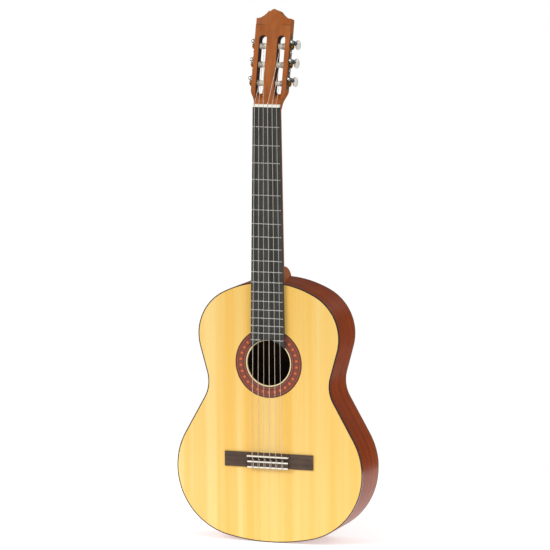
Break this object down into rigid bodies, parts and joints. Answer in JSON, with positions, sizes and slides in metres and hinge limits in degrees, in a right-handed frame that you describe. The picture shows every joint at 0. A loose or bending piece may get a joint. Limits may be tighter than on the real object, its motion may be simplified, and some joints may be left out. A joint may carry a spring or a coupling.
{
  "type": "classical guitar",
  "caption": "Classical guitar with a waisted hollow body, arched-end fingerboard, slotted peaked headstock with geared tuning machines, and a tie bridge.",
  "frame": {"origin": "middle of the whole guitar's footprint, level with the lowest point of the body's tail", "axes": "+Z from the tail along the neck to the headstock, +Y from the soundboard to the back, +X towards the treble side"},
  "size_m": [0.366, 0.1101, 0.9922],
  "materials": {
    "spruce": "thin clear lacquer over straight-grained spruce",
    "rib_wood": "high gloss lacquer over red-brown figured wood",
    "neck_wood": "satin lacquer over orange-brown cedar",
    "dark_wood": "bare oiled rosewood",
    "binding_wood": "dark binding, gloss",
    "rosette_inlay": "mosaic of small dyed woods, lacquered flush",
    "inner_wood": "bare sawn wood",
    "bone": "polished bone white",
    "nickel_plate": "nickel plated steel",
    "gear_brass": "cut brass",
    "pearl": "pearloid plastic",
    "roller_white": "white plastic barrel on a steel axle",
    "fret_metal": "polished nickel silver",
    "nylon": "clear nylon",
    "wound_string": "silver-plated copper winding"
  },
  "bodies": {
    "root": {"soundboard": "spruce", "rosette": "rosette_inlay", "soundhole_patch": "inner_wood", "back": "rib_wood", "rib_bass": "rib_wood", "rib_treble": "rib_wood", "top_binding": "binding_wood", "back_binding": "binding_wood", "neck_block": "neck_wood", "tail_block": "inner_wood", "top_lining": "inner_wood", "back_lining": "inner_wood", "transverse_bars": "inner_wood", "fan_struts": "inner_wood", "back_bars": "inner_wood", "back_centre_strip": "inner_wood", "neck": "neck_wood", "headstock": "neck_wood", "fingerboard": "dark_wood", "frets": "fret_metal", "nut": "bone", "bridge": "dark_wood", "tie_block_strips": "bone", "saddle": "bone", "tuner_plate_bass": "nickel_plate", "tuner_plate_treble": "nickel_plate", "plate_screws": "nickel_plate", "string_1": "nylon", "string_2": "nylon", "string_3": "nylon", "string_4": "wound_string", "string_5": "wound_string", "string_6": "wound_string"},
    "tuner_1_button": {"button_1": "pearl", "worm_shaft_1": "nickel_plate"},
    "tuner_1_roller": {"roller_1": "roller_white", "gear_wheel_1": "gear_brass"},
    "tuner_2_button": {"button_2": "pearl", "worm_shaft_2": "nickel_plate"},
    "tuner_2_roller": {"roller_2": "roller_white", "gear_wheel_2": "gear_brass"},
    "tuner_3_button": {"button_3": "pearl", "worm_shaft_3": "nickel_plate"},
    "tuner_3_roller": {"roller_3": "roller_white", "gear_wheel_3": "gear_brass"},
    "tuner_4_button": {"button_4": "pearl", "worm_shaft_4": "nickel_plate"},
    "tuner_4_roller": {"roller_4": "roller_white", "gear_wheel_4": "gear_brass"},
    "tuner_5_button": {"button_5": "pearl", "worm_shaft_5": "nickel_plate"},
    "tuner_5_roller": {"roller_5": "roller_white", "gear_wheel_5": "gear_brass"},
    "tuner_6_button": {"button_6": "pearl", "worm_shaft_6": "nickel_plate"},
    "tuner_6_roller": {"roller_6": "roller_white", "gear_wheel_6": "gear_brass"}
  },
  "joints": [
    {"name": "button_1_turn", "type": "hinge", "parent": "root", "child": "tuner_1_button", "pos_m": [0.0376, -0.02106, 0.86432], "axis": [0, 0.9703, -0.2419], "continuous": true},
    {"name": "roller_1_turn", "type": "hinge", "parent": "root", "child": "tuner_1_roller", "pos_m": [0.018, -0.02301, 0.85651], "axis": [1, 0, 0], "continuous": true},
    {"name": "button_2_turn", "type": "hinge", "parent": "root", "child": "tuner_2_button", "pos_m": [0.0376, -0.01271, 0.8978], "axis": [0, 0.9703, -0.2419], "continuous": true},
    {"name": "roller_2_turn", "type": "hinge", "parent": "root", "child": "tuner_2_roller", "pos_m": [0.018, -0.01466, 0.88999], "axis": [1, 0, 0], "continuous": true},
    {"name": "button_3_turn", "type": "hinge", "parent": "root", "child": "tuner_3_button", "pos_m": [0.0376, -0.00436, 0.93127], "axis": [0, 0.9703, -0.2419], "continuous": true},
    {"name": "roller_3_turn", "type": "hinge", "parent": "root", "child": "tuner_3_roller", "pos_m": [0.018, -0.00631, 0.92346], "axis": [1, 0, 0], "continuous": true},
    {"name": "button_4_turn", "type": "hinge", "parent": "root", "child": "tuner_4_button", "pos_m": [-0.0376, -0.00436, 0.93127], "axis": [0, 0.9703, -0.2419], "continuous": true},
    {"name": "roller_4_turn", "type": "hinge", "parent": "root", "child": "tuner_4_roller", "pos_m": [-0.018, -0.00631, 0.92346], "axis": [1, 0, 0], "continuous": true},
    {"name": "button_5_turn", "type": "hinge", "parent": "root", "child": "tuner_5_button", "pos_m": [-0.0376, -0.01271, 0.8978], "axis": [0, 0.9703, -0.2419], "continuous": true},
    {"name": "roller_5_turn", "type": "hinge", "parent": "root", "child": "tuner_5_roller", "pos_m": [-0.018, -0.01466, 0.88999], "axis": [1, 0, 0], "continuous": true},
    {"name": "button_6_turn", "type": "hinge", "parent": "root", "child": "tuner_6_button", "pos_m": [-0.0376, -0.02106, 0.86432], "axis": [0, 0.9703, -0.2419], "continuous": true},
    {"name": "roller_6_turn", "type": "hinge", "parent": "root", "child": "tuner_6_roller", "pos_m": [-0.018, -0.02301, 0.85651], "axis": [1, 0, 0], "continuous": true}
  ],
  "couplings": [
    {"joint": "roller_1_turn", "follows": "button_1_turn", "ratio": 0.071429},
    {"joint": "roller_2_turn", "follows": "button_2_turn", "ratio": 0.071429},
    {"joint": "roller_3_turn", "follows": "button_3_turn", "ratio": 0.071429},
    {"joint": "roller_4_turn", "follows": "button_4_turn", "ratio": 0.071429},
    {"joint": "roller_5_turn", "follows": "button_5_turn", "ratio": 0.071429},
    {"joint": "roller_6_turn", "follows": "button_6_turn", "ratio": 0.071429}
  ]
}
